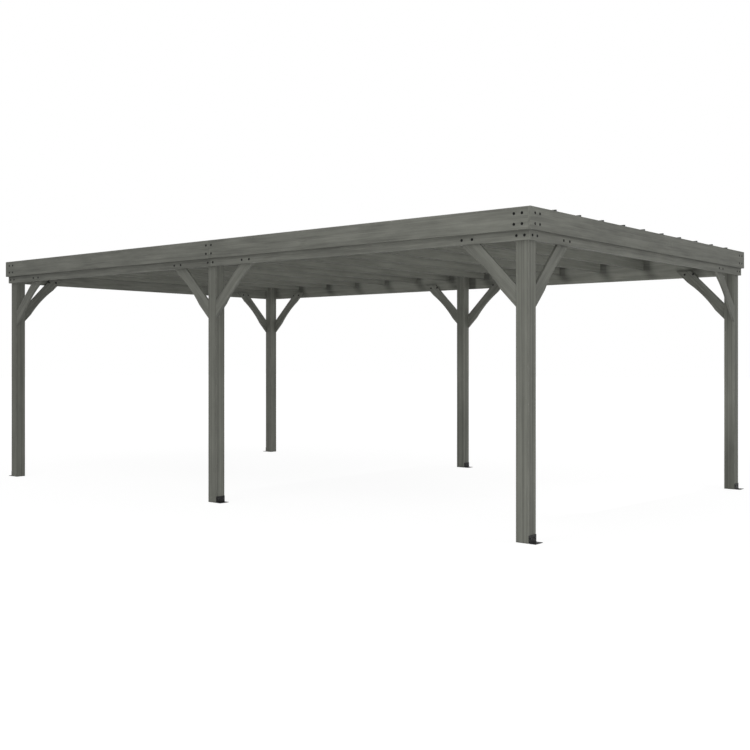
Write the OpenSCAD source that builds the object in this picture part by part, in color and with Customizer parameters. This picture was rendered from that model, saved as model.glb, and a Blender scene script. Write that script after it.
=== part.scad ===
// Free-standing wooden pergola with a flat sheet roof. Millimetres, +Z up, the origin
// on the ground at the middle of the plan, +X along the length, -Y towards the front.

/* [Posts] */
// Width of the square posts
post_w = 110; // [90:5:150]
// Distance between neighbouring posts along the length, centre to centre
bay_x = 3430; // [2600:10:4000]
// Distance between the two rows of posts, centre to centre
bay_y = 4140; // [2800:10:4600]
// Chamfer on the upright arrises of the posts
post_chamfer = 5; // [2:0.5:8]

/* [Beams and fascia] */
// Clear height from the ground to the underside of the beam boards
headroom = 2250; // [2000:10:2600]
// Thickness of the beam and fascia boards
board_t = 23; // [18:1:32]
// Height of the beam boards, which end level with the tops of posts and rafters
beam_h = 235; // [215:5:280]
// Height of the fascia boards
fascia_h = 172; // [140:1:200]
// Strip of beam board that shows under the fascia
beam_reveal = 75; // [60:1:90]
// Chamfer on the long arrises of boards and rafters
board_chamfer = 2; // [1:0.5:4]
// Open joint between the two lengths of a long board, over the middle post
butt_gap = 1; // [0.5:0.5:3]

/* [Rafters] */
// Number of rafters over the length
rafter_count = 14; // [9:1:18]
// Thickness of a rafter
rafter_t = 45; // [36:1:60]
// Height of a rafter
rafter_h = 115; // [90:1:120]

/* [Knee braces] */
// Thickness of a brace
brace_t = 23; // [18:1:32]
// Width of a brace at its straight ends, square to its length
brace_w = 117; // [95:1:140]
// Distance from the underside of the beam down to the foot of a brace
brace_leg = 490; // [400:5:620]
// Length that a brace runs up behind the beam board
brace_lap = 75; // [60:1:90]
// Depth of the arch in the lower edge of a brace
arch_rise = 18; // [8:1:28]
// Length of that arch, measured along the edge
arch_chord = 430; // [300:5:500]

/* [Roof sheets] */
// Number of roof panels side by side over the width
panel_count = 11; // [8:1:14]
// Thickness of the sheet metal
sheet_t = 1.2; // [0.8:0.1:2]
// Height of a standing seam above the rafters
seam_h = 30; // [24:1:38]
// Width of a standing seam
seam_w = 14; // [12:1:20]
// Clearance between the folds of two neighbouring panels
seam_gap = 0.6; // [0.4:0.1:1]
// Clearance between the roof sheets and the fascia boards
sheet_edge_gap = 3; // [2:1:6]
// Height of the turned-up outer edge of the first and the last panel
edge_upstand = 10; // [6:1:12]

/* [Foot brackets] */
// Length of both legs of the angle bracket
bracket_leg = 60; // [50:1:80]
// Thickness of the bracket steel
bracket_t = 4; // [3:0.5:6]
// Distance from each edge of the post to the bracket
bracket_inset = 2; // [0:1:6]
// Inner radius of the bracket's bend
bracket_bend_r = 4; // [2:1:8]
// Diameter of the two anchor holes in the leg on the ground
anchor_hole_d = 12; // [10:0.5:14]
// Distance between the two anchor holes
anchor_spacing = 60; // [50:1:64]
// Diameter of the two screw holes in the leg on the post
screw_hole_d = 9; // [6:0.5:11]
// Distance between the two screw holes
screw_spacing = 60; // [50:1:64]
// Distance from the outer edge of either leg to the middle of its holes
hole_edge = 24; // [18:1:28]

/* [Hidden] */

// Half the length and half the width over the outer faces of the posts
half_x = bay_x + post_w / 2;
half_y = bay_y / 2 + post_w / 2;

// Heights above the ground
roof_z = headroom + beam_h;
fascia_z = headroom + beam_reveal;
rafter_z = roof_z - rafter_h;

// Rafters stand at one pitch, with the end ones flush with the outer faces of the posts
rafter_pitch = (2 * half_x - rafter_t) / (rafter_count - 1);
rafters_left = floor(rafter_count / 2);

// Roof panels fill the space inside the fascia boards
sheet_half_x = half_x + board_t - sheet_edge_gap;
sheet_half_y = half_y + board_t - sheet_edge_gap;
panel_pitch = 2 * sheet_half_y / panel_count;
panels_front = ceil(panel_count / 3);
panels_rear = ceil(panel_count / 3);

// The arch of a brace is part of a circle
arch_r = (arch_chord * arch_chord / 4 + arch_rise * arch_rise) / (2 * arch_rise);
brace_end_cut = brace_w * sqrt(2);

wood = "#6b6c64";
wood_shade = "#5f6059";
sheet_metal = "#3d4040";
black_steel = "#202122";
cut_over = 1;
arc_fn = 96;

// ---- Timber -------------------------------------------------------------------------

// Rectangle with its four corners cut off, the section of all planed timber here
module timber_section(w, h, c) {
    polygon([
        [c, 0], [w - c, 0], [w, c], [w, h - c],
        [w - c, h], [c, h], [0, h - c], [0, c]
    ]);
}

// Board along +X from x = 0, its outer face on y = 0 and its body towards +Y
module board_x(length, h) {
    rotate([90, 0, 90])
        linear_extrude(length)
            timber_section(board_t, h, board_chamfer);
}

// side_x is 1 for the right end, 0 for the middle, -1 for the left end;
// side_y is -1 for the front, 1 for the rear
module post(side_x, side_y) {
    color(wood)
        translate([side_x * bay_x - post_w / 2, side_y * bay_y / 2 - post_w / 2, 0])
            linear_extrude(roof_z)
                timber_section(post_w, post_w, post_chamfer);
}

// Long beam boards run past the end ones at the corners
module beam_long(side_x, side_y) {
    length = half_x + board_t - butt_gap / 2;
    color(wood)
        translate([
            side_x > 0 ? butt_gap / 2 : -half_x - board_t,
            side_y > 0 ? half_y : -half_y - board_t,
            headroom
        ])
            board_x(length, beam_h);
}

module beam_end(side_x) {
    color(wood)
        translate([side_x > 0 ? half_x + board_t : -half_x, -half_y, headroom])
            rotate([0, 0, 90])
                board_x(2 * half_y, beam_h);
}

// End fascia boards run past the long ones, so the two tiers lap the other way round
module fascia_long(side_x, side_y) {
    length = half_x + board_t - butt_gap / 2;
    color(wood)
        translate([
            side_x > 0 ? butt_gap / 2 : -half_x - board_t,
            side_y > 0 ? half_y + board_t : -half_y - 2 * board_t,
            fascia_z
        ])
            board_x(length, fascia_h);
}

module fascia_end(side_x) {
    reach = half_y + 2 * board_t;
    color(wood)
        translate([side_x > 0 ? half_x + 2 * board_t : -half_x - board_t, -reach, fascia_z])
            rotate([0, 0, 90])
                board_x(2 * reach, fascia_h);
}

// Rafter number i, counted from the left end; the end ones fit between the corner posts
module rafter(i) {
    is_end = i == 0 || i == rafter_count - 1;
    reach = is_end ? half_y - post_w : half_y;
    translate([-half_x + i * rafter_pitch + rafter_t, -reach, rafter_z])
        rotate([90, 0, 180])
            linear_extrude(2 * reach)
                timber_section(rafter_t, rafter_h, board_chamfer);
}

module rafters(first, last) {
    color(wood_shade)
        for (i = [first:last])
            rafter(i);
}

// ---- Knee braces --------------------------------------------------------------------

// Side view of a brace: x is the distance from the post's face, y the height above the
// underside of the beam. Both ends are cut plumb or level, the lower edge is arched.
module brace_outline() {
    top_x = brace_leg + brace_lap;
    mid = [top_x / 2, (brace_lap - brace_leg) / 2];
    outwards = (arch_r - arch_rise) / sqrt(2);
    difference() {
        polygon([
            [0, -brace_leg],
            [top_x, brace_lap],
            [top_x - brace_end_cut, brace_lap],
            [0, -brace_leg + brace_end_cut]
        ]);
        translate([mid[0] + outwards, mid[1] - outwards])
            circle(r = arch_r, $fn = 4 * arc_fn);
    }
}

// Brace in the XZ plane that rises towards +X from x = 0, its body from y = 0 to brace_t
module brace_blank() {
    color(wood)
        translate([0, brace_t, headroom])
            rotate([90, 0, 0])
                linear_extrude(brace_t)
                    brace_outline();
}

// Brace along the length; it leaves the post at side_x towards the side `towards`
module brace_long(side_x, side_y, towards) {
    translate([
        side_x * bay_x + towards * post_w / 2,
        side_y > 0 ? half_y - brace_t : -half_y,
        0
    ])
        mirror([towards < 0 ? 1 : 0, 0, 0])
            brace_blank();
}

// Brace across the width, in the plane of the end posts' outer faces
module brace_across(side_x, side_y) {
    translate([side_x > 0 ? half_x : -half_x + brace_t, side_y * (half_y - post_w), 0])
        mirror([0, side_y > 0 ? 1 : 0, 0])
            rotate([0, 0, 90])
                brace_blank();
}

// ---- Roof sheets --------------------------------------------------------------------

// Section of one panel: a flat pan with an upright fold on its left side, which the
// hooked fold of the panel before it covers. first and last have a low outer edge.
module panel_section(first, last) {
    left = first ? 0 : seam_w - 2 * sheet_t - seam_gap;
    left_h = first ? edge_upstand : seam_h - sheet_t - seam_gap;
    hook_end = seam_w - sheet_t;
    right_h = last ? edge_upstand : seam_h;
    right = panel_pitch;
    polygon(concat(
        [
            [left, 0], [right, 0]
        ],
        last ? [
            [right, right_h], [right - sheet_t, right_h]
        ] : [
            [right, seam_h - sheet_t],
            [right + hook_end, seam_h - sheet_t],
            [right + hook_end, sheet_t + seam_gap],
            [right + seam_w, sheet_t + seam_gap],
            [right + seam_w, seam_h],
            [right - sheet_t, seam_h]
        ],
        [
            [right - sheet_t, sheet_t],
            [left + sheet_t, sheet_t],
            [left + sheet_t, left_h],
            [left, left_h]
        ]
    ));
}

module roof_panels(first, last) {
    color(sheet_metal)
        for (i = [first:last])
            translate([-sheet_half_x, -sheet_half_y + i * panel_pitch, roof_z])
                rotate([90, 0, 90])
                    linear_extrude(2 * sheet_half_x)
                        panel_section(i == 0, i == panel_count - 1);
}

// ---- Foot brackets ------------------------------------------------------------------

// Angle section: x away from the post, y up
module bracket_section() {
    bend_c = bracket_t + bracket_bend_r;
    difference() {
        union() {
            translate([bend_c, 0])
                square([bracket_leg - bend_c, bracket_t]);
            translate([0, bend_c])
                square([bracket_t, bracket_leg - bend_c]);
            intersection() {
                square(bend_c);
                translate([bend_c, bend_c])
                    circle(r = bend_c, $fn = arc_fn);
            }
        }
        translate([bend_c, bend_c])
            circle(r = bracket_bend_r, $fn = arc_fn);
    }
}

// Bracket against a face on x = 0 that looks towards +X, centred on y = 0
module bracket_blank() {
    length = post_w - 2 * bracket_inset;
    hole_at = bracket_leg - hole_edge;
    difference() {
        translate([0, length / 2, 0])
            rotate([90, 0, 0])
                linear_extrude(length)
                    bracket_section();
        for (side = [-1, 1]) {
            translate([hole_at, side * anchor_spacing / 2, -cut_over])
                cylinder(d = anchor_hole_d, h = bracket_t + 2 * cut_over, $fn = arc_fn);
            translate([-cut_over, side * screw_spacing / 2, hole_at])
                rotate([0, 90, 0])
                    cylinder(d = screw_hole_d, h = bracket_t + 2 * cut_over, $fn = arc_fn);
        }
    }
}

// The brackets stand on the right faces of the posts, and on the left ones at the left end
module bracket(side_x, side_y) {
    facing = side_x < 0 ? -1 : 1;
    color(black_steel)
        translate([side_x * bay_x + facing * post_w / 2, side_y * bay_y / 2, 0])
            mirror([facing < 0 ? 1 : 0, 0, 0])
                bracket_blank();
}

// ---- Nodes --------------------------------------------------------------------------

post(1, -1);  // post_front_right
post(0, -1);  // post_front_middle
post(-1, -1);  // post_front_left
post(1, 1);  // post_rear_right
post(0, 1);  // post_rear_middle
post(-1, 1);  // post_rear_left

beam_long(1, -1);  // beam_front_right
beam_long(-1, -1);  // beam_front_left
beam_long(1, 1);  // beam_rear_right
beam_long(-1, 1);  // beam_rear_left
beam_end(1);  // beam_right_end
beam_end(-1);  // beam_left_end

fascia_long(1, -1);  // fascia_front_right
fascia_long(-1, -1);  // fascia_front_left
fascia_long(1, 1);  // fascia_rear_right
fascia_long(-1, 1);  // fascia_rear_left
fascia_end(1);  // fascia_right_end
fascia_end(-1);  // fascia_left_end

brace_long(1, -1, -1);  // brace_front_right
brace_long(0, -1, 1);  // brace_front_middle_right
brace_long(0, -1, -1);  // brace_front_middle_left
brace_long(-1, -1, 1);  // brace_front_left
brace_long(1, 1, -1);  // brace_rear_right
brace_long(0, 1, 1);  // brace_rear_middle_right
brace_long(0, 1, -1);  // brace_rear_middle_left
brace_long(-1, 1, 1);  // brace_rear_left
brace_across(1, -1);  // brace_right_end_front
brace_across(1, 1);  // brace_right_end_rear
brace_across(-1, -1);  // brace_left_end_front
brace_across(-1, 1);  // brace_left_end_rear

rafters(rafters_left, rafter_count - 1);  // rafters_right_bay
rafters(0, rafters_left - 1);  // rafters_left_bay

roof_panels(0, panels_front - 1);  // roof_panels_front
roof_panels(panels_front, panel_count - panels_rear - 1);  // roof_panels_middle
roof_panels(panel_count - panels_rear, panel_count - 1);  // roof_panels_rear

bracket(1, -1);  // bracket_front_right
bracket(0, -1);  // bracket_front_middle
bracket(-1, -1);  // bracket_front_left
bracket(1, 1);  // bracket_rear_right
bracket(0, 1);  // bracket_rear_middle
bracket(-1, 1);  // bracket_rear_left
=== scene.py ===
import math
import random
from functools import partial, reduce

import bmesh
import bpy
from mathutils import Matrix, Vector


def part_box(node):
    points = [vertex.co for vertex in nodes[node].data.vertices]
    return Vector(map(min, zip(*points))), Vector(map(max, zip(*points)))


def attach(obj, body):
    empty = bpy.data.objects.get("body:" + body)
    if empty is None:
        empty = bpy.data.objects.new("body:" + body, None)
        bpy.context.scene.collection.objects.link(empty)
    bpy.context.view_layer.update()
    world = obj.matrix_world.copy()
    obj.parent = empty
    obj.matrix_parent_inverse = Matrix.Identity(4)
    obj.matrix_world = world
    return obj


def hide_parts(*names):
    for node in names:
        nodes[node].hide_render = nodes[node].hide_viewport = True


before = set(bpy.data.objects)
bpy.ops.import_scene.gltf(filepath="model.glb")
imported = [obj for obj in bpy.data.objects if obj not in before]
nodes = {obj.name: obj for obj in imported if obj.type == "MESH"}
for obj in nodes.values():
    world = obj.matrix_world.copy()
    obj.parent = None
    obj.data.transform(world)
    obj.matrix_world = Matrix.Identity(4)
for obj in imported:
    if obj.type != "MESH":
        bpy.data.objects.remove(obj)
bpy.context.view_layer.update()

# Looks of the wooden pergola: rounded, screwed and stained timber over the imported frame,
# coated roof sheets and black steel brackets. Metres, +Z up, the front towards -Y.

axisX, axisY, axisZ = Vector((1, 0, 0)), Vector((0, 1, 0)), Vector((0, 0, 1))
diceStart = 41           # another number deals out other boards
dice = random.Random(diceStart)
print("frame loaded:", len(nodes), "nodes")

near = {
    "touching": 1e-6,    # places this close together are one place
    "level": 1e-5,       # a face this little below the board's own is still level with it
    "parallel": 0.99,    # cosine above which two directions run alike
    "facing": 0.9,       # cosine above which a face looks that way
}


# small helpers for modelling

def selectNothing():
    if bpy.context.object and bpy.context.object.mode != "OBJECT":
        bpy.ops.object.mode_set(mode="OBJECT")
    bpy.ops.object.select_all(action="DESELECT")


def selectOnly(piece):
    selectNothing()
    piece.select_set(True)
    bpy.context.view_layer.objects.active = piece


def takeAdded(name):
    # the new piece's place goes into its mesh, and the object stays at the origin
    piece = bpy.context.object
    piece.name = name
    selectOnly(piece)
    bpy.ops.object.transform_apply(location=True, rotation=True, scale=True)
    return piece


def addBlock(name, low, high):
    selectNothing()
    bpy.ops.mesh.primitive_cube_add(size=1, location=(low + high) / 2, scale=high - low)
    return takeAdded(name)


def addRod(name, steps, radius, depth, at=(0, 0, 0), turn=(0, 0, 0)):
    selectNothing()
    bpy.ops.mesh.primitive_cylinder_add(
        vertices=steps, radius=radius, depth=depth, location=at, rotation=turn)
    return takeAdded(name)


def openEdit(piece, kind=None, wanted=None):
    # opens the piece for editing with all of it, or only the wanted verts, edges or faces, selected
    selectOnly(piece)
    bpy.ops.object.mode_set(mode="EDIT")
    if kind is None:
        bpy.ops.mesh.select_all(action="SELECT")
        return
    bpy.context.tool_settings.mesh_select_mode = [kind == each for each in ("verts", "edges", "faces")]
    bpy.ops.mesh.select_all(action="DESELECT")
    shape = bmesh.from_edit_mesh(piece.data)
    for part in getattr(shape, kind):
        if wanted(part):
            part.select_set(True)
    bmesh.update_edit_mesh(piece.data)


def closeEdit():
    bpy.ops.object.mode_set(mode="OBJECT")


def roundTop(piece, offset, steps):
    # bevels the edge round the highest face
    top = max(corner.co.z for corner in piece.data.vertices)
    openEdit(piece, "edges", lambda edge: all(top - corner.co.z < near["touching"] for corner in edge.verts))
    bpy.ops.mesh.bevel(offset=offset, segments=steps, affect="EDGES")
    closeEdit()


def applyModifier(piece, kind, **settings):
    modifier = piece.modifiers.new(kind.title(), kind)
    for name, value in settings.items():
        setattr(modifier, name, value)
    selectOnly(piece)
    bpy.ops.object.modifier_apply(modifier=modifier.name)


def discard(piece):
    bpy.data.objects.remove(piece, do_unlink=True)


def cutAway(piece, cutter):
    applyModifier(piece, "BOOLEAN", operation="DIFFERENCE", object=cutter, solver="EXACT")
    discard(cutter)


def copyOf(piece, name, place):
    twin = piece.copy()
    twin.data = piece.data.copy()
    twin.name = name
    twin.data.name = name
    bpy.context.collection.objects.link(twin)
    twin.data.transform(place)
    return twin


def turnTo(direction):
    # turns what faces up so that it faces the direction
    return axisZ.rotation_difference(direction).to_matrix().to_4x4()


def joinPieces(parts, name):
    selectNothing()
    for part in parts:
        part.select_set(True)
    bpy.context.view_layer.objects.active = parts[0]
    bpy.ops.object.join()
    joined = bpy.context.object
    joined.name = name
    joined.data.name = name
    return joined


def paint(piece, material):
    piece.data.materials.clear()
    piece.data.materials.append(material)


def keepPiece(piece, slotName, material, *stoodFor):
    paint(piece, material)
    if stoodFor:
        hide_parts(*stoodFor)
    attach(piece, "root")


def writeMask(piece, name, values):
    # one number for each face, which the finishes read by its name
    mask = piece.data.attributes.new(name, "FLOAT", "FACE")
    mask.data.foreach_set("value", [float(value) for value in values])


# small helpers for shader nodes

def addNode(tree, kind, **settings):
    node = tree.nodes.new(kind)
    for name, value in settings.items():
        setattr(node, name, value)
    return node


def feed(tree, socket, value):
    if isinstance(value, bpy.types.NodeSocket):
        tree.links.new(value, socket)
    else:
        socket.default_value = value


def feedInTurn(tree, node, *values):
    for socket, value in zip(node.inputs, values):
        feed(tree, socket, value)
    return node


def feedNamed(tree, node, **values):
    # Ring_Width=0.006 goes to the socket named Ring Width
    for name, value in values.items():
        feed(tree, node.inputs[name.replace("_", " ")], value)
    return node


def mathNode(tree, operation, *values, clamp=False):
    node = addNode(tree, "ShaderNodeMath", operation=operation, use_clamp=clamp)
    return feedInTurn(tree, node, *values).outputs[0]


def vectorNode(tree, operation, *values):
    node = feedInTurn(tree, addNode(tree, "ShaderNodeVectorMath", operation=operation), *values)
    return node.outputs["Value" if operation == "LENGTH" else "Vector"]


def rangeNode(tree, value, fromLow, fromHigh, toLow=0.0, toHigh=1.0, easing="SMOOTHSTEP"):
    node = addNode(tree, "ShaderNodeMapRange", interpolation_type=easing)
    return feedNamed(tree, node, Value=value, From_Min=fromLow, From_Max=fromHigh,
                     To_Min=toLow, To_Max=toHigh).outputs["Result"]


def layerNoise(tree, place, layer, scale=1.0):
    # noise drawn out by the layer's stretch, and spread over 0 to 1 from its low to its high
    if "stretch" in layer:
        place = vectorNode(tree, "MULTIPLY", place, layer["stretch"])
    noise = feedNamed(tree, addNode(tree, "ShaderNodeTexNoise"), Vector=place, Scale=scale,
                      Detail=layer["detail"], Roughness=layer["rough"]).outputs["Fac"]
    return rangeNode(tree, noise, layer["low"], layer["high"]) if "low" in layer else noise


def mixColours(tree, share, first, second):
    node = addNode(tree, "ShaderNodeMix", data_type="RGBA")
    for place, value in ((0, share), (6, first), (7, second)):     # a Mix node's sockets for colours
        feed(tree, node.inputs[place], value)
    return node.outputs[2]


def mixShaders(tree, share, first, second):
    return feedInTurn(tree, addNode(tree, "ShaderNodeMixShader"), share, first, second).outputs[0]


def readAttribute(tree, name, output="Fac"):
    return addNode(tree, "ShaderNodeAttribute", attribute_name=name).outputs[output]


def objectPlace(tree):
    return addNode(tree, "ShaderNodeTexCoord").outputs["Object"]


def addRelief(tree, shader, height, strength, distance=1.0):
    bump = feedNamed(tree, addNode(tree, "ShaderNodeBump"), Strength=strength, Distance=distance,
                     Height=height)
    feedNamed(tree, shader, Normal=bump.outputs["Normal"])


def layOut(tree, columnWidth=220, rowHeight=240):
    # the nodes stand in columns, each left of what it feeds, so that the tree can be read
    column = {node.name: 0 for node in tree.nodes}
    for _ in tree.nodes:
        for link in tree.links:
            column[link.from_node.name] = max(column[link.from_node.name], column[link.to_node.name] + 1)
    filled = [0] * (len(column) + 1)
    for node in tree.nodes:
        at = column[node.name]
        node.location = (-columnWidth * at, -rowHeight * filled[at])
        filled[at] += 1


def newGroup(name, **starts):
    # a group that takes Place and the named numbers, each with the value it starts at
    group = bpy.data.node_groups.new(name, "ShaderNodeTree")
    group.interface.new_socket(name="Place", in_out="INPUT", socket_type="NodeSocketVector")
    for label, start in starts.items():
        socket = group.interface.new_socket(
            name=label.replace("_", " "), in_out="INPUT", socket_type="NodeSocketFloat")
        socket.default_value = start
    return group, addNode(group, "NodeGroupInput").outputs


def finishGroup(group, **values):
    for label in values:
        group.interface.new_socket(name=label, in_out="OUTPUT", socket_type="NodeSocketFloat")
    feedNamed(group, addNode(group, "NodeGroupOutput"), **values)
    layOut(group)
    return group


def placeGroup(tree, group, **values):
    return feedNamed(tree, addNode(tree, "ShaderNodeGroup", node_tree=group), **values).outputs


def newMaterial(name):
    material = bpy.data.materials.new(name)
    material.use_nodes = True
    tree = material.node_tree
    return material, tree, tree.nodes["Principled BSDF"]


# shader groups that several finishes share

grainPattern = {
    "knotCells": (1.25, 5.0, 2.0),     # places for a knot in a metre: along, across and through
    "knotForm": (0.8, 1.0, 0.25),      # a little longer along the board, and deep
    "knotRim": (1.15, 0.55),           # a knot fades in between these, in its own radius
    "knotReach": (5.0, 0.6),           # and pushes the rings aside between these
    "knotPush": 0.010,
    "lateWood": (0.30, 0.88), "sharpEnd": (1.0, 0.93),
    "slowBend": {"stretch": (0.42, 7.0, 7.0), "detail": 2.0, "rough": 0.45},
    "wide": {"stretch": (0.20, 30.0, 30.0), "detail": 2.0, "rough": 0.6, "low": 0.28, "high": 0.72},
    "narrow": {"stretch": (0.55, 105.0, 105.0), "detail": 3.0, "rough": 0.6, "low": 0.28, "high": 0.72},
    "wideShare": 0.6, "narrowShare": 0.4,
    "mottle": {"stretch": (2.4, 13.0, 13.0), "detail": 3.0, "rough": 0.6, "low": 0.26, "high": 0.74},
    "fibre": {"stretch": (9.0, 620.0, 620.0), "detail": 2.0, "rough": 0.55},
}


def makeGrainGroup(pattern):
    # Place runs along the timber in X, the other two are measured from the heart of the log
    group, takes = newGroup("boardGrain", Ring_Width=0.006, Bend=0.012, Knot_Radius=0.013, Streak_Pace=1.0)
    calc, place = partial(mathNode, group), takes["Place"]
    # knots, nearly round in the face, each with its own size
    cellSpace = vectorNode(group, "MULTIPLY", place, pattern["knotCells"])
    cells = feedNamed(group, addNode(group, "ShaderNodeTexVoronoi", feature="F1"),
                      Vector=cellSpace, Scale=1.0)
    gap = vectorNode(group, "SUBTRACT", cellSpace, cells.outputs["Position"])
    toMetres = [form / count for form, count in zip(pattern["knotForm"], pattern["knotCells"])]
    reach = vectorNode(group, "LENGTH", vectorNode(group, "MULTIPLY", gap, toMetres))
    ownSize = feedNamed(group, addNode(group, "ShaderNodeSeparateColor"), Color=cells.outputs["Color"])
    nearness = calc("DIVIDE", reach, calc("MULTIPLY", ownSize.outputs["Red"], takes["Knot Radius"]))
    knots = rangeNode(group, nearness, *pattern["knotRim"])
    push = rangeNode(group, nearness, *pattern["knotReach"], 0.0, pattern["knotPush"])
    # rings round the heart, bent slowly along the length
    slow = layerNoise(group, place, pattern["slowBend"])
    bend = calc("MULTIPLY", calc("SUBTRACT", slow, 0.5), takes["Bend"])
    fromHeart = vectorNode(group, "LENGTH", vectorNode(group, "MULTIPLY", place, (0.0, 1.0, 1.0)))
    pushed = calc("ADD", calc("ADD", fromHeart, bend), push)
    part = calc("FRACT", calc("DIVIDE", pushed, takes["Ring Width"]))
    rings = calc("MULTIPLY", rangeNode(group, part, *pattern["lateWood"]),
                 rangeNode(group, part, *pattern["sharpEnd"]))
    # long streaks of denser stain, shorter mottling, and the fibre itself
    pace = feedInTurn(group, addNode(group, "ShaderNodeCombineXYZ"), takes["Streak Pace"], 1.0, 1.0)
    paced = vectorNode(group, "MULTIPLY", place, pace.outputs[0])
    wide, narrow = (layerNoise(group, paced, pattern[layer]) for layer in ("wide", "narrow"))
    streaks = calc("ADD", calc("MULTIPLY", wide, pattern["wideShare"]),
                   calc("MULTIPLY", narrow, pattern["narrowShare"]))
    mottle, fibre = (layerNoise(group, place, pattern[layer]) for layer in ("mottle", "fibre"))
    return finishGroup(group, Rings=rings, Streaks=streaks, Mottle=mottle, Fibre=fibre, Knots=knots)


wearPattern = {
    "coarse": {"detail": 3.0, "rough": 0.6, "low": 0.38, "high": 0.62},
    "fine": {"detail": 2.0, "rough": 0.6, "low": 0.3, "high": 0.7}, "fineScale": 180.0,
}


def makeWearGroup(pattern):
    # rubbed edges: the Edge mask broken up by a fine and a coarse noise
    group, takes = newGroup("edgeWear", Edge=0.0, Scale=14.0, Amount=0.6)
    coarse = layerNoise(group, takes["Place"], pattern["coarse"], takes["Scale"])
    fine = layerNoise(group, takes["Place"], pattern["fine"], pattern["fineScale"])
    worn = mathNode(group, "MULTIPLY", mathNode(group, "MULTIPLY", coarse, fine), takes["Edge"])
    return finishGroup(group, Wear=mathNode(group, "MULTIPLY", worn, takes["Amount"], clamp=True))


cloudPattern = {
    "patches": {"detail": 3.0, "rough": 0.55},
    "specks": {"detail": 1.0, "rough": 0.5, "low": 0.62, "high": 0.72},
}


def makePatchGroup(pattern):
    # slow cloudy differences and small specks, for stain, coats and dust
    group, takes = newGroup("cloudyPatches", Patch_Scale=1.6, Speck_Scale=220.0)
    patches = layerNoise(group, takes["Place"], pattern["patches"], takes["Patch Scale"])
    specks = layerNoise(group, takes["Place"], pattern["specks"], takes["Speck Scale"])
    return finishGroup(group, Patches=patches, Specks=specks)


grainGroup = makeGrainGroup(grainPattern)
wearGroup = makeWearGroup(wearPattern)
patchGroup = makePatchGroup(cloudPattern)
print("shader groups made")


# finishes

def paintedShadeMask(tree, paintedShade):
    # painted shade under the fascia outside and beside the rafters inside, painted light on the rest inside
    calc = partial(mathNode, tree)
    split = feedNamed(tree, addNode(tree, "ShaderNodeSeparateXYZ"), Vector=objectPlace(tree))
    along, height = split.outputs["X"], split.outputs["Z"]
    core, coreHalf, coreDrop, blur = (paintedShade[name] for name in ("core", "coreHalf", "coreDrop", "blur"))
    # painted shade, darker towards the fascia's foot on the outer faces
    band = rangeNode(tree, height, paintedShade["fasciaFoot"] - paintedShade["bandDrop"],
                     paintedShade["fasciaFoot"], 0.0, paintedShade["band"], easing="LINEAR")
    outside = calc("MULTIPLY", band, readAttribute(tree, "outerFace"))
    # painted shade: distance from a line beside each rafter, which leans away from it below its foot
    below = calc("MAXIMUM", calc("SUBTRACT", paintedShade["rafterFoot"], height), 0.0)
    leaning = calc("SUBTRACT", along, calc("MULTIPLY", below, paintedShade["lean"]))
    fromFirst = calc("SUBTRACT", leaning, paintedShade["firstRafter"] + paintedShade["beside"])
    share = calc("FRACT", calc("ADD", calc("DIVIDE", fromFirst, paintedShade["pitch"]), 0.5))
    away = calc("MULTIPLY", calc("ABSOLUTE", calc("SUBTRACT", share, 0.5)), paintedShade["pitch"])
    dark = calc("MULTIPLY", rangeNode(tree, away, coreHalf, coreHalf - blur, 0.0, core),
                rangeNode(tree, below, coreDrop + blur, coreDrop - blur))
    soft = calc("MULTIPLY", rangeNode(tree, away, paintedShade["softReach"], 0.0, 0.0, paintedShade["soft"]),
                rangeNode(tree, below, paintedShade["softDrop"], 0.0))
    # and painted shade in the corner on the right of the middle post
    fromPost = calc("ABSOLUTE", calc("SUBTRACT", along, paintedShade["postSide"] + coreHalf))
    corner = rangeNode(tree, fromPost, coreHalf + blur, coreHalf - blur, 0.0, core)
    # the dark parts are painted shade; the rest of the inner face is painted paler, as painted light
    darkest = calc("MAXIMUM", calc("MAXIMUM", dark, soft), corner)
    inside = calc("MULTIPLY", calc("SUBTRACT", darkest, paintedShade["inside"]), readAttribute(tree, "innerFace"))
    return calc("ADD", outside, inside)


# what each pattern comes to on the whole, so that a stronger one leaves the stain as deep
patternMiddles = {"streaks": 0.5, "rings": 0.35, "mottle": 0.5, "patches": 0.5}


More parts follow.
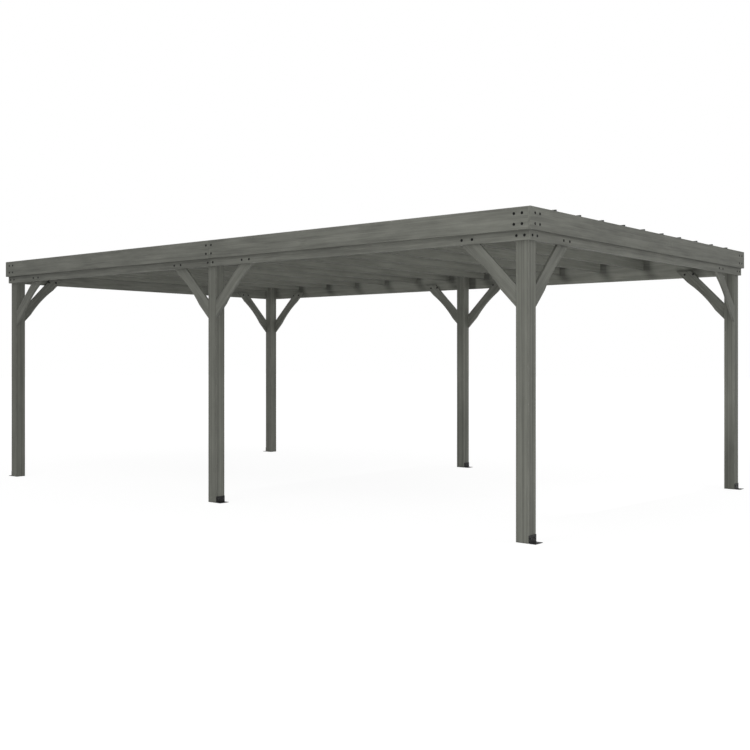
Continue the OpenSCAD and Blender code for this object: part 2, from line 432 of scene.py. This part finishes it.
def stainedTimber(name, finish):
    material, tree, shader = newMaterial(name)
    calc = partial(mathNode, tree)
    place = readAttribute(tree, "boardPlace", "Vector")
    tone, cutEnd, arris, underside, screwSeat = (
        readAttribute(tree, mask) for mask in ("boardTone", "cutEnd", "arris", "underside", "screwSeat"))
    grain = placeGroup(tree, grainGroup, Place=place, Ring_Width=finish["ringWidth"],
                       Bend=finish["ringBend"], Knot_Radius=finish["knotRadius"],
                       Streak_Pace=finish["streakPace"])
    clouds = placeGroup(tree, patchGroup, Place=place, Patch_Scale=finish["patchScale"])
    wear = placeGroup(tree, wearGroup, Place=place, Edge=arris, Amount=finish["edgeWear"])

    def weighed(value, pattern, sign=1):
        # more or less stain on either side of the pattern's middle
        return calc("MULTIPLY", calc("SUBTRACT", value, patternMiddles[pattern]), sign * finish[pattern])

    effects = [
        weighed(grain["Streaks"], "streaks"), weighed(grain["Rings"], "rings", sign=-1),
        weighed(grain["Mottle"], "mottle"), weighed(clouds["Patches"], "patches"),
        calc("MULTIPLY", grain["Knots"], -finish["knots"]), calc("MULTIPLY", tone, finish["boardTone"]),
    ]
    # painted shade and painted light on the beams
    if "paintedShade" in finish:
        effects.append(calc("MULTIPLY", paintedShadeMask(tree, finish["paintedShade"]), -1.0))
    depth = calc("ADD", reduce(partial(calc, "ADD"), effects), 0.5)
    level = calc("SUBTRACT", depth, calc("MULTIPLY", cutEnd, finish["endGrain"]), clamp=True)
    stain = mixColours(tree, level, finish["deep"], finish["pale"])
    # painted shade: undersides darkened, and the seats round the screws painted dark
    shade = calc("MAXIMUM", calc("MULTIPLY", underside, finish["underside"]), screwSeat)
    shadedStain = mixColours(tree, shade, stain, finish["shaded"])
    worn = mixColours(tree, wear["Wear"], shadedStain, finish["rubbed"])
    rough = rangeNode(tree, level, *finish["roughFrom"], *finish["roughness"], easing="LINEAR")
    feedNamed(tree, shader, Base_Color=worn, Roughness=rough, Specular_IOR_Level=finish["gloss"])
    relief = calc("ADD", calc("MULTIPLY", grain["Fibre"], finish["fibreHeight"]),
                  calc("MULTIPLY", grain["Rings"], finish["ringHeight"]))
    addRelief(tree, shader, relief, finish["relief"])
    layOut(tree)
    return material


stainFinish = {
    "ringWidth": 0.0065, "ringBend": 0.030, "knotRadius": 0.016, "streakPace": 6.0, "patchScale": 2.1,
    "streaks": 0.40, "mottle": 0.32, "rings": 0.10, "patches": 0.26, "knots": 0.24, "boardTone": 0.05,
    # the underside share and the shaded colour give the painted shade on undersides and screw seats
    "endGrain": 0.02, "edgeWear": 0.28, "underside": 0.30, "shaded": (0.020, 0.021, 0.018, 1),
    "deep": (0.076, 0.078, 0.067, 1), "pale": (0.249, 0.254, 0.222, 1), "rubbed": (0.27, 0.27, 0.24, 1),
    "roughFrom": (0.2, 0.8), "roughness": (0.62, 0.74), "gloss": 0.30,     # from deep to pale stain
    "relief": 0.6, "fibreHeight": 0.00045, "ringHeight": 0.00030,
}
postFinish = dict(stainFinish, ringWidth=0.0075, ringBend=0.022, knots=0.20, streakPace=1.0,
                  streaks=0.60, mottle=0.16, deep=(0.067, 0.069, 0.058, 1), pale=(0.234, 0.239, 0.208, 1))
# rafters: a paler stain than the boards, as painted light on the soffit, and more painted shade on their
# undersides
rafterFinish = dict(stainFinish, ringWidth=0.0060, streakPace=3.0, streaks=0.24, mottle=0.20, patches=0.18,
                    edgeWear=0.0, relief=0.9, underside=0.60, gloss=0.06,
                    deep=(0.091, 0.093, 0.080, 1), pale=(0.298, 0.304, 0.267, 1))

rafterRow = {"thick": 0.045, "count": 14}
rowStart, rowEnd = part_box("rafters_left_bay")[0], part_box("rafters_right_bay")[1]
rafterRow["pitch"] = (rowEnd.x - rowStart.x - rafterRow["thick"]) / (rafterRow["count"] - 1)
# painted shade and painted light on the beams, placed by the rafters and the middle post
beamPaintedShade = {
    "fasciaFoot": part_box("fascia_front_right")[0].z,
    "bandDrop": 0.060, "band": 0.16,      # painted shade: the band under the fascia, where its overhang shades the beam
    "rafterFoot": rowStart.z, "firstRafter": rowStart.x + rafterRow["thick"],
    "pitch": rafterRow["pitch"], "postSide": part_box("post_rear_middle")[1].x,
    "beside": 0.030, "lean": 0.75,        # where the painted shade in the corners stands beside a rafter
    "core": 0.72, "coreHalf": 0.052, "coreDrop": 0.024, "blur": 0.018,
    "soft": 0.70, "softReach": 0.120, "softDrop": 0.200,
    "inside": 0.20,                       # painted light: how much paler the rest of the inner face is
}
beamFinishWithShade = dict(stainFinish, paintedShade=beamPaintedShade)

boardStain = stainedTimber("boardStain", stainFinish)
beamStainWithShade = stainedTimber("beamStainWithShade", beamFinishWithShade)
postStain = stainedTimber("postStain", postFinish)
rafterStain = stainedTimber("rafterStain", rafterFinish)


def coatedSheet(name, finish):
    material, tree, shader = newMaterial(name)
    calc, place = partial(mathNode, tree), objectPlace(tree)
    dust = placeGroup(tree, patchGroup, Place=place, Patch_Scale=finish["patchScale"],
                      Speck_Scale=finish["speckScale"])
    share = rangeNode(tree, dust["Patches"], *finish["dustFrom"], 0.0, finish["dust"])
    coat = mixColours(tree, share, finish["colour"], finish["dustColour"])
    specks = calc("MULTIPLY", dust["Specks"], finish["specks"])
    speckled = mixColours(tree, specks, coat, finish["dustColour"])
    rough = rangeNode(tree, dust["Patches"], *finish["roughFrom"], *finish["roughness"])
    feedNamed(tree, shader, Base_Color=speckled, Roughness=rough)
    waves = calc("MULTIPLY", layerNoise(tree, place, finish["waves"]), finish["waveHeight"])
    peel = layerNoise(tree, place, finish["peel"], finish["peelScale"])
    relief = calc("ADD", waves, calc("MULTIPLY", peel, finish["peelHeight"]))
    addRelief(tree, shader, relief, finish["relief"])
    layOut(tree)
    return material


sheetFinish = {
    "colour": (0.036, 0.037, 0.034, 1), "dustColour": (0.11, 0.108, 0.095, 1), "dust": 0.30,
    "dustFrom": (0.42, 0.75), "specks": 0.12, "patchScale": 0.9, "speckScale": 420.0,
    "roughFrom": (0.35, 0.7), "roughness": (0.42, 0.60), "relief": 0.7,
    "waves": {"stretch": (0.7, 2.6, 2.6), "detail": 1.0, "rough": 0.4}, "waveHeight": 0.010,
    "peel": {"detail": 1.0, "rough": 0.5}, "peelScale": 900.0, "peelHeight": 0.00003,
}
roofCoat = coatedSheet("roofCoat", sheetFinish)


def blackCoat(name, finish):
    material, tree, shader = newMaterial(name)
    place = objectPlace(tree)
    clouds = placeGroup(tree, patchGroup, Place=place, Patch_Scale=finish["patchScale"],
                        Speck_Scale=finish["speckScale"])
    scuffs = mathNode(tree, "MULTIPLY", clouds["Specks"], finish["scuffs"])
    feedNamed(tree, shader, Base_Color=mixColours(tree, scuffs, finish["colour"], finish["bare"]),
              Roughness=rangeNode(tree, clouds["Patches"], *finish["roughFrom"], *finish["roughness"]),
              Metallic=mathNode(tree, "MULTIPLY", scuffs, finish["bareMetal"]),
              Specular_IOR_Level=finish["gloss"])
    peel = layerNoise(tree, place, finish["peel"], finish["peelScale"])
    addRelief(tree, shader, peel, finish["relief"], finish["peelHeight"])
    layOut(tree)
    return material


bracketFinish = {
    "colour": (0.007, 0.007, 0.007, 1), "bare": (0.12, 0.12, 0.12, 1), "scuffs": 0.35, "bareMetal": 0.6,
    "patchScale": 9.0, "speckScale": 520.0, "roughFrom": (0.3, 0.7), "roughness": (0.45, 0.62),
    "gloss": 0.22, "relief": 0.5, "peel": {"detail": 2.0, "rough": 0.5}, "peelScale": 700.0,
    "peelHeight": 0.0004,
}
screwFinish = dict(bracketFinish, colour=(0.010, 0.010, 0.010, 1), scuffs=0.15, roughness=(0.6, 0.75),
                   relief=0.25, gloss=0.06)
coachFinish = dict(bracketFinish, colour=(0.022, 0.022, 0.021, 1), scuffs=0.40, roughness=(0.40, 0.55),
                   gloss=0.35)
bracketCoat = blackCoat("bracketCoat", bracketFinish)
coachCoat = blackCoat("coachCoat", coachFinish)
screwCoat = blackCoat("screwCoat", screwFinish)
print("finishes made")


# timber

timberShape = {
    "postRound": 0.005,      # rounding of the upright arrises
    "boardRound": 0.003,     # rounding of boards and rafters
    "roundSteps": 3,
    "endEase": 0.0012,       # the saw cuts are only broken
    "slimFace": 0.0032,      # faces slimmer than this belong to a rounded arris
    "cutFacing": 0.6,        # cosine above which a face counts as a saw cut across the run
    "undersideGain": 1.6,    # above 1, so that a slanting lower face gets nearly as much painted shade as a level one
}


def easeTimber(piece, run, radius):
    # long arrises rounded over, the sawn ends lightly broken
    def alongRun(edge):
        line = (edge.verts[1].co - edge.verts[0].co).normalized()
        return abs(line.dot(run)) > near["parallel"]

    openEdit(piece, "edges", alongRun)
    bpy.ops.mesh.bevel(offset=radius, segments=timberShape["roundSteps"], affect="EDGES")
    closeEdit()
    reaches = [corner.co.dot(run) for corner in piece.data.vertices]
    low, high = min(reaches), max(reaches)

    def onEnd(edge):
        first, second = (corner.co.dot(run) for corner in edge.verts)
        return max(abs(first - second), min(abs(first - low), abs(first - high))) < near["touching"]

    openEdit(piece, "edges", onEnd)
    bpy.ops.mesh.bevel(offset=timberShape["endEase"], segments=1, affect="EDGES")
    closeEdit()


# how much lighter or darker each board is, in half steps
boardTones = {
    "post_front_left": -2.5, "post_front_middle": -0.5, "post_front_right": -1,
    "post_rear_left": -1.5, "post_rear_middle": -1, "post_rear_right": -1,
    "beam_front_left": -2, "beam_front_right": -1.5, "beam_rear_left": 2, "beam_rear_right": 1,
    "beam_right_end": -1, "beam_left_end": 1,
    "fascia_front_left": -0.5, "fascia_front_right": 0.5, "fascia_right_end": -1.5,
    "brace_front_left": -3, "brace_front_middle_right": -0.5, "brace_front_right": -1.5,
    "brace_left_end_front": -3.5, "brace_left_end_rear": -1, "brace_right_end_front": -3,
    "brace_right_end_rear": -1.5, "brace_rear_middle_right": -2.5, "brace_rear_middle_left": 1,
    "brace_rear_right": -3,
    "rafter_01": 2.5, "rafter_02": 1.5, "rafter_03": 1.5, "rafter_04": 1, "rafter_05": -1,
    "rafter_07": -1, "rafter_09": 0.5, "rafter_10": 1, "rafter_11": 1, "rafter_12": 2.5,
}

# a different stretch of log, in metres further along, where the dice gave an odd face
logShifts = {
    "post_front_left": 13, "post_front_middle": 13, "post_front_right": 41,
    "post_rear_left": 7, "post_rear_middle": 13, "post_rear_right": 41,
}

# where a board was sawn: how long the log is, and how far out its heart lies
logPlace = {"length": 60, "heartAcross": 0.05, "heartNear": 0.035, "heartFar": 0.11, "postHeart": 0.03}


def valueFor(table, piece):
    return sum(table[name] for name in table if piece.name.endswith(name))


def layGrain(piece, run, across, heartOut=None):
    # each timber gets its own stretch of log: a place along it and a heart beside it
    mesh = piece.data
    through = run.cross(across)
    centre = sum((corner.co for corner in mesh.vertices), Vector()) / len(mesh.vertices)
    shift = dice.uniform(0, logPlace["length"]) + valueFor(logShifts, piece)
    if heartOut is None:
        heart = (dice.uniform(-logPlace["heartAcross"], logPlace["heartAcross"]),
                 dice.choice((-1, 1)) * dice.uniform(logPlace["heartNear"], logPlace["heartFar"]))
    else:
        heart = (dice.uniform(-heartOut, heartOut), dice.uniform(-heartOut, heartOut))
    tone = dice.uniform(-1, 1) + valueFor(boardTones, piece)
    places = []
    for corner in mesh.vertices:
        offset = corner.co - centre
        places += [offset.dot(run) + shift, offset.dot(across) - heart[0], offset.dot(through) - heart[1]]
    # masks for the sawn ends, the arrises and the undersides, which get painted shade
    ends, arrises, undersides = [], [], []
    for face in mesh.polygons:
        rim = sum((mesh.vertices[a].co - mesh.vertices[b].co).length for a, b in face.edge_keys)
        slim = 2 * face.area / rim < timberShape["slimFace"]
        ends.append(abs(face.normal.dot(run)) > timberShape["cutFacing"] and not slim)
        arrises.append(slim)
        undersides.append(min(1.0, max(0.0, -timberShape["undersideGain"] * face.normal.z)))
    mesh.attributes.new("boardPlace", "FLOAT_VECTOR", "POINT").data.foreach_set("vector", places)
    mesh.attributes.new("boardTone", "FLOAT", "POINT").data.foreach_set("value", [tone] * len(mesh.vertices))
    for name, values in (("cutEnd", ends), ("arris", arrises), ("underside", undersides)):
        writeMask(piece, name, values)


# screws

screwShape = {
    "headRadius": 0.0096, "headHeight": 0.0026, "steps": 24,
    "rimRound": 0.45,        # of the head's height
    "seatRadius": 0.0114, "seatDepth": 0.0031,
    "driveRadius": 0.0034, "driveDepth": 0.0014, "lobes": 6, "lobeCut": 0.80,
}


def makeScrewHead():
    head = addRod("screwHead", screwShape["steps"], screwShape["headRadius"], screwShape["headHeight"])
    # domed rim
    roundTop(head, screwShape["headHeight"] * screwShape["rimRound"], 2)
    # six-lobed drive
    top = max(corner.co.z for corner in head.data.vertices)
    rim = max(corner.co.xy.length for corner in head.data.vertices if top - corner.co.z < near["touching"])
    openEdit(head, "faces", lambda face: face.normal.z > near["parallel"])
    bpy.ops.mesh.inset(thickness=rim - screwShape["driveRadius"], depth=0)
    bpy.ops.mesh.extrude_region_move(TRANSFORM_OT_translate={"value": (0, 0, -screwShape["driveDepth"])})
    closeEdit()
    lobe = 360 / screwShape["lobes"]

    def betweenLobes(corner):
        angle = round(math.degrees(math.atan2(corner.co.y, corner.co.x))) % lobe
        return corner.co.xy.length < screwShape["driveRadius"] and angle >= lobe / 2

    openEdit(head, "verts", betweenLobes)
    cut = screwShape["lobeCut"]
    bpy.ops.transform.resize(value=(cut, cut, 1), center_override=(0, 0, 0))
    closeEdit()
    return head


screwHead = makeScrewHead()


def drillBoard(piece, holes, outward):
    # shallow seats for the screw heads, cut by one cutter made of many short rods
    radius, depth = screwShape["seatRadius"], screwShape["seatDepth"]
    turn = axisZ.rotation_difference(outward).to_euler()
    rods = [addRod("seatRod", screwShape["steps"], radius, 2 * depth, hole, turn) for hole in holes]
    cutAway(piece, joinPieces(rods, "screwSeatCutter"))
    # the seat faces are marked, and the stain paints them dark as shade
    writeMask(piece, "screwSeat", [
        min((face.center - hole).length for hole in holes) < radius + depth
        and abs((face.center - holes[0]).dot(outward)) > near["level"] for face in piece.data.polygons])


def setScrews(name, holes, outward):
    sink = screwShape["seatDepth"] - screwShape["headHeight"] / 2
    turn = turnTo(outward)
    heads = []
    for hole in holes:
        spin = Matrix.Rotation(dice.uniform(0, math.pi), 4, "Z")
        heads.append(copyOf(screwHead, "head", Matrix.Translation(hole - outward * sink) @ turn @ spin))
    keepPiece(joinPieces(heads, name), "black_steel", screwCoat)


# posts

rowSides = {"front": -1, "rear": 1}
endSides = {"right": 1, "left": -1}


def makePosts():
    for row in rowSides:
        for column in ("right", "middle", "left"):
            node = f"post_{row}_{column}"
            low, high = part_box(node)
            post = addBlock(f"square_{node}", low, high)
            easeTimber(post, axisZ, timberShape["postRound"])
            layGrain(post, axisZ, axisX, heartOut=logPlace["postHeart"])
            keepPiece(post, "stained_wood", postStain, node)


makePosts()
print("posts made")


# beam and fascia boards

fixing = {
    "postPair": 0.035,        # two screws side by side over a post
    "fasciaShift": 0.008,     # the fascia's own pairs sit this much nearer the middle
    "buttPair": 0.036,        # one column each side of the butt joint
    "fasciaRows": (0.0475, 0.127),   # below the top of the fascia
    "beamRow": 0.037,         # above the lower edge of the beam
    "braceFar": (0.378, 0.474),      # from the post's face, at the top of a brace
}

postCentre = {node: sum(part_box(node), Vector()) / 2 for node in nodes if node.startswith("post_")}
postHalf = (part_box("post_front_right")[1].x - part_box("post_front_right")[0].x) / 2


def makeBoard(node, run, outward, columns, rows):
    # screwed through its outer face, at places along it and heights
    low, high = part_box(node)
    board = addBlock(f"planed_{node}", low, high)
    easeTimber(board, run, timberShape["boardRound"])
    through = 1 if run == axisX else 0
    onFace = high[through] if outward[through] > 0 else low[through]
    holes = [Vector((at, onFace, height) if run == axisX else (onFace, at, height))
             for at in columns for height in rows]
    drillBoard(board, holes, outward)
    layGrain(board, run, axisZ)
    isBeam = node.startswith("beam")
    if isBeam:
        # which faces look out and in, for the beams' painted shade and painted light
        facing = [face.normal.dot(outward) for face in board.data.polygons]
        writeMask(board, "outerFace", [way > near["facing"] for way in facing])
        writeMask(board, "innerFace", [way < -near["facing"] and run == axisX for way in facing])
    keepPiece(board, "stained_wood", beamStainWithShade if isBeam else boardStain, node)
    setScrews(f"screws_{node}", holes, outward)


def makeTiers():
    pair, butt = fixing["postPair"], fixing["buttPair"]
    cornerX = postCentre["post_front_right"].x
    cornerY = postCentre["post_rear_right"].y
    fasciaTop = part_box("fascia_front_right")[1].z
    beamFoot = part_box("beam_front_right")[0].z
    fasciaRows = [fasciaTop - drop for drop in fixing["fasciaRows"]]
    beamRows = [beamFoot + fixing["beamRow"]]
    for row, sideY in rowSides.items():
        for column, sideX in endSides.items():
            outward = Vector((0, sideY, 0))
            corner = [sideX * (cornerX - pair), sideX * (cornerX + pair)]
            inward = [at - sideX * fixing["fasciaShift"] for at in corner]
            joint = [sideX * butt]
            makeBoard(f"fascia_{row}_{column}", axisX, outward, inward + joint, fasciaRows)
            braces = [sideX * (cornerX - postHalf - far) for far in fixing["braceFar"]]
            braces += [sideX * (postHalf + far) for far in fixing["braceFar"]]
            makeBoard(f"beam_{row}_{column}", axisX, outward, corner + joint + braces, beamRows)
    for column, sideX in endSides.items():
        outward = Vector((sideX, 0, 0))
        corners = [side * (cornerY + shift) for side in (-1, 1) for shift in (-pair, pair)]
        makeBoard(f"fascia_{column}_end", axisY, outward, corners, fasciaRows)
        braces = [side * (cornerY - postHalf - far) for side in (-1, 1) for far in fixing["braceFar"]]
        makeBoard(f"beam_{column}_end", axisY, outward, corners + braces, beamRows)


makeTiers()
print("beam and fascia boards made")


# knee braces

braceShape = {
    "thick": 0.023, "wide": 0.117, "leg": 0.490, "lap": 0.075, "slope": 45,
    "blankLength": 1.8,      # of the brace's level reach, before its ends are cut
    "cutterDepth": 3,        # of the board's thickness
    "archRise": 0.018, "archChord": 0.430, "archSteps": 720,
    "round": 0.002, "roundSteps": 2, "roundAbove": 35,     # degrees between two faces
    "innerScrews": (0.375, 0.470), "innerRow": 0.037,
}


def makeBraceBlank():
    # a straight board at 45 degrees, cut plumb at the post, level at the top and arched below.
    # x runs away from the post's face, z up from the underside of the beam
    thick, wide, leg, lap = (braceShape[name] for name in ("thick", "wide", "leg", "lap"))
    topX = leg + lap
    middle = Vector((topX / 2, 0, topX / 2 - leg + wide / math.sqrt(2)))
    size = Vector((topX * braceShape["blankLength"], thick, wide))
    blank = addBlock("braceBlank", middle - size / 2, middle + size / 2)
    openEdit(blank)
    bpy.ops.transform.rotate(value=math.radians(braceShape["slope"]), orient_axis="Y", center_override=middle)
    closeEdit()
    for point, normal in (((0, 0, 0), (-1, 0, 0)), ((0, 0, lap), (0, 0, 1))):     # plumb, then level
        openEdit(blank)
        bpy.ops.mesh.bisect(plane_co=point, plane_no=normal, use_fill=True, clear_outer=True)
        closeEdit()
    rise, chord = braceShape["archRise"], braceShape["archChord"]
    radius = (chord * chord / 4 + rise * rise) / (2 * rise)
    outwards = (radius - rise) / math.sqrt(2)
    arch = addRod("archCutter", braceShape["archSteps"], radius, thick * braceShape["cutterDepth"],
                  (topX / 2 + outwards, 0, (lap - leg) / 2 - outwards), (math.pi / 2, 0, 0))
    cutAway(blank, arch)
    applyModifier(blank, "BEVEL", width=braceShape["round"], segments=braceShape["roundSteps"],
                  limit_method="ANGLE", angle_limit=math.radians(braceShape["roundAbove"]))
    return blank


def makeBraces():
    blank = makeBraceBlank()
    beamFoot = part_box("beam_front_right")[0].z
    spots = [Vector((far, 0, braceShape["innerRow"])) for far in braceShape["innerScrews"]]
    rightFaces = [centre.x + postHalf for centre in postCentre.values()]
    for node in sorted(name for name in nodes if name.startswith("brace_")):
        low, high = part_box(node)
        middleX, middleY = (low.x + high.x) / 2, (low.y + high.y) / 2
        if "end" in node.split("_"):      # these run from front to rear
            away = 1 if node.endswith("front") else -1
            foot = Vector((middleX, low.y if away > 0 else high.y, beamFoot))
            angle = away * math.pi / 2
            inward = Vector((-1 if middleX > 0 else 1, 0, 0))
        else:                             # and these along the length, from either side of a post
            away = 1 if min(abs(low.x - face) for face in rightFaces) < near["level"] else -1
            foot = Vector((low.x if away > 0 else high.x, middleY, beamFoot))
            angle = 0 if away > 0 else math.pi
            inward = Vector((0, -1 if middleY > 0 else 1, 0))
        place = Matrix.Translation(foot) @ Matrix.Rotation(angle, 4, "Z")
        brace = copyOf(blank, f"arched_{node}", place)
        holes = [place @ spot + inward * braceShape["thick"] / 2 for spot in spots]
        drillBoard(brace, holes, inward)
        outFlat = Matrix.Rotation(angle, 3, "Z") @ axisX      # level, away from the post
        layGrain(brace, (outFlat + axisZ).normalized(), (axisZ - outFlat).normalized())
        keepPiece(brace, "stained_wood", boardStain, node)
        setScrews(f"screws_{node}", holes, inward)
    discard(blank)


makeBraces()
print("knee braces made")


# rafters

def makeRafters():
    # numbered from the left, and the one at each end is shorter, to fit between the corner posts
    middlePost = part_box("post_front_middle")
    inset = middlePost[1].x - middlePost[0].x
    count = rafterRow["count"] // 2
    for node, first, endPlace in (("rafters_right_bay", count, count - 1), ("rafters_left_bay", 0, 0)):
        low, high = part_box(node)
        for place in range(count):
            start = low.x + place * rafterRow["pitch"]
            short = inset if place == endPlace else 0
            rafter = addBlock(f"rafter_{first + place + 1:02d}", Vector((start, low.y + short, low.z)),
                              Vector((start + rafterRow["thick"], high.y - short, high.z)))
            easeTimber(rafter, axisY, timberShape["boardRound"])
            layGrain(rafter, axisY, axisZ)
            keepPiece(rafter, "stained_wood", rafterStain, node)


makeRafters()
print("rafters made")


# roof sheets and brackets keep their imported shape

for node, piece in nodes.items():
    if node.startswith(("roof_panels", "bracket")):
        paint(piece, roofCoat if node.startswith("roof") else bracketCoat)


# coach screws in the brackets

coachShape = {
    "flats": 0.0065, "high": 0.0055, "headEase": 0.0008,
    "flange": 0.0085, "flangeHigh": 0.0015, "flangeEase": 0.0005, "flangeSteps": 24,
    "spacing": 0.060, "height": 0.036, "steel": 0.004,
}


def makeCoachScrew():
    # hexagon head on a round flange, facing +Z
    base, high = coachShape["flangeHigh"], coachShape["high"]
    flange = addRod("flange", coachShape["flangeSteps"], coachShape["flange"], base, (0, 0, base / 2))
    roundTop(flange, coachShape["flangeEase"], 1)
    hexagon = addRod("hexagon", 6, coachShape["flats"], high, (0, 0, base + high / 2))
    roundTop(hexagon, coachShape["headEase"], 2)
    return joinPieces([flange, hexagon], "coachScrew")


def makeCoachScrews():
    master = makeCoachScrew()
    for node in sorted(name for name in nodes if name.startswith("bracket_")):
        low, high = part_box(node)
        side = -1 if node.endswith("left") else 1
        face = (low.x if side > 0 else high.x) + side * coachShape["steel"]
        turn = turnTo(Vector((side, 0, 0)))
        heads = []
        for way in (-1, 1):
            across = (low.y + high.y) / 2 + way * coachShape["spacing"] / 2
            spot = Vector((face, across, coachShape["height"]))
            spin = Matrix.Rotation(dice.uniform(0, math.pi / 3), 4, "Z")
            heads.append(copyOf(master, "coach", Matrix.Translation(spot) @ turn @ spin))
        keepPiece(joinPieces(heads, f"coach_screws_{node}"), "black_steel", coachCoat)
    discard(master)


makeCoachScrews()
discard(screwHead)
print("brackets and screws made")


# floor, light and camera

stage = {"floorSize": 120.0, "floorColour": 0.80, "shadowShare": 0.20, "nearWhite": 1.15,
         "farWhite": 1.22, "nearRadius": 5.0, "farRadius": 13.0, "worldLevel": 0.45}


def seenShare(tree):
    # camera, glossy and transmission rays see the white backdrop
    rays = addNode(tree, "ShaderNodeLightPath").outputs
    some = mathNode(tree, "ADD", rays["Is Camera Ray"], rays["Is Glossy Ray"], clamp=True)
    return mathNode(tree, "ADD", some, rays["Is Transmission Ray"], clamp=True)


def makeFloor():
    selectNothing()
    bpy.ops.mesh.primitive_plane_add(size=stage["floorSize"], location=(0, 0, 0))
    floor = takeAdded("studioFloor")
    material, tree, shader = newMaterial("studioFloor")
    tree.nodes.remove(shader)
    grey = stage["floorColour"]
    plain = feedNamed(tree, addNode(tree, "ShaderNodeBsdfDiffuse"), Color=(grey, grey, grey, 1)).outputs[0]
    white = rangeNode(tree, vectorNode(tree, "LENGTH", objectPlace(tree)), stage["nearRadius"],
                      stage["farRadius"], stage["nearWhite"], stage["farWhite"])
    glow = feedNamed(tree, addNode(tree, "ShaderNodeEmission"), Strength=white).outputs[0]
    seen = mixShaders(tree, stage["shadowShare"], glow, plain)
    both = mixShaders(tree, seenShare(tree), plain, seen)
    feedNamed(tree, tree.nodes["Material Output"], Surface=both)
    layOut(tree)
    paint(floor, material)


def makeWorld():
    world = bpy.data.worlds.new("studioWorld")
    bpy.context.scene.world = world
    world.use_nodes = True
    tree = world.node_tree
    plainWhite = (1, 1, 1, 1)
    light = feedNamed(tree, tree.nodes["Background"], Color=plainWhite, Strength=stage["worldLevel"])
    white = feedNamed(tree, addNode(tree, "ShaderNodeBackground"), Color=plainWhite, Strength=1.0)
    both = mixShaders(tree, seenShare(tree), light.outputs[0], white.outputs[0])
    feedNamed(tree, tree.nodes["World Output"], Surface=both)
    layOut(tree)


softBoxes = {
    "groundBox": {"at": (0.0, 0.0, 0.01), "aim": (0.0, 0.0, 5.0), "size": 8.0, "watts": 32.0},
    "highFrontBox": {"at": (1.0, -8.0, 12.0), "aim": (0.0, -1.0, 1.5), "size": 5.0, "watts": 222.0},
    "rightBox": {"at": (11.0, 2.0, 9.0), "aim": (1.0, 0.0, 1.5), "size": 5.0, "watts": 123.0},
    "rearBox": {"at": (0.0, 9.0, 7.0), "aim": (0.0, 0.0, 1.5), "size": 6.0, "watts": 110.0},
    "nearBox": {"at": (8.5, -9.5, 1.2), "aim": (0.0, 0.0, 1.6), "size": 2.0, "watts": 312.0},
    "underRightBox": {"at": (3.3, 0.6, 0.3), "aim": (-1.0, 0.9, 2.4), "size": 2.0, "watts": 30.0},
    "underLeftBox": {"at": (-0.4, 0.3, 0.1), "aim": (-3.0, 0.3, 2.0), "size": 3.0, "watts": 15.0},
}


def makeLights():
    for name, box in softBoxes.items():
        lamp = bpy.data.lights.new(name, "AREA")
        lamp.shape = "SQUARE"
        lamp.size = box["size"]
        lamp.energy = box["watts"]
        holder = bpy.data.objects.new(name, lamp)
        bpy.context.collection.objects.link(holder)
        holder.location = box["at"]
        aim = Vector(box["aim"]) - Vector(box["at"])
        holder.rotation_euler = aim.to_track_quat("-Z", "Y").to_euler()
        holder.visible_camera = False


# the camera stands at the front on the right and looks level, the horizon a little above the middle
view = {"at": (7.490, -8.774, 1.373), "turn": 0.689, "lens": 49.785, "sensor": 36.0, "shift": -0.0220,
        "farthest": 400.0}


def makeCamera():
    lens = bpy.data.cameras.new("viewCamera")
    lens.lens = view["lens"]
    lens.sensor_width = view["sensor"]
    lens.shift_y = view["shift"]
    lens.clip_end = view["farthest"]
    camera = bpy.data.objects.new("viewCamera", lens)
    bpy.context.collection.objects.link(camera)
    camera.location = view["at"]
    camera.rotation_euler = (math.pi / 2, 0, view["turn"])
    bpy.context.scene.camera = camera


makeFloor()
makeWorld()
makeLights()
makeCamera()
bpy.context.scene.view_settings.view_transform = "Standard"
print("stage set")
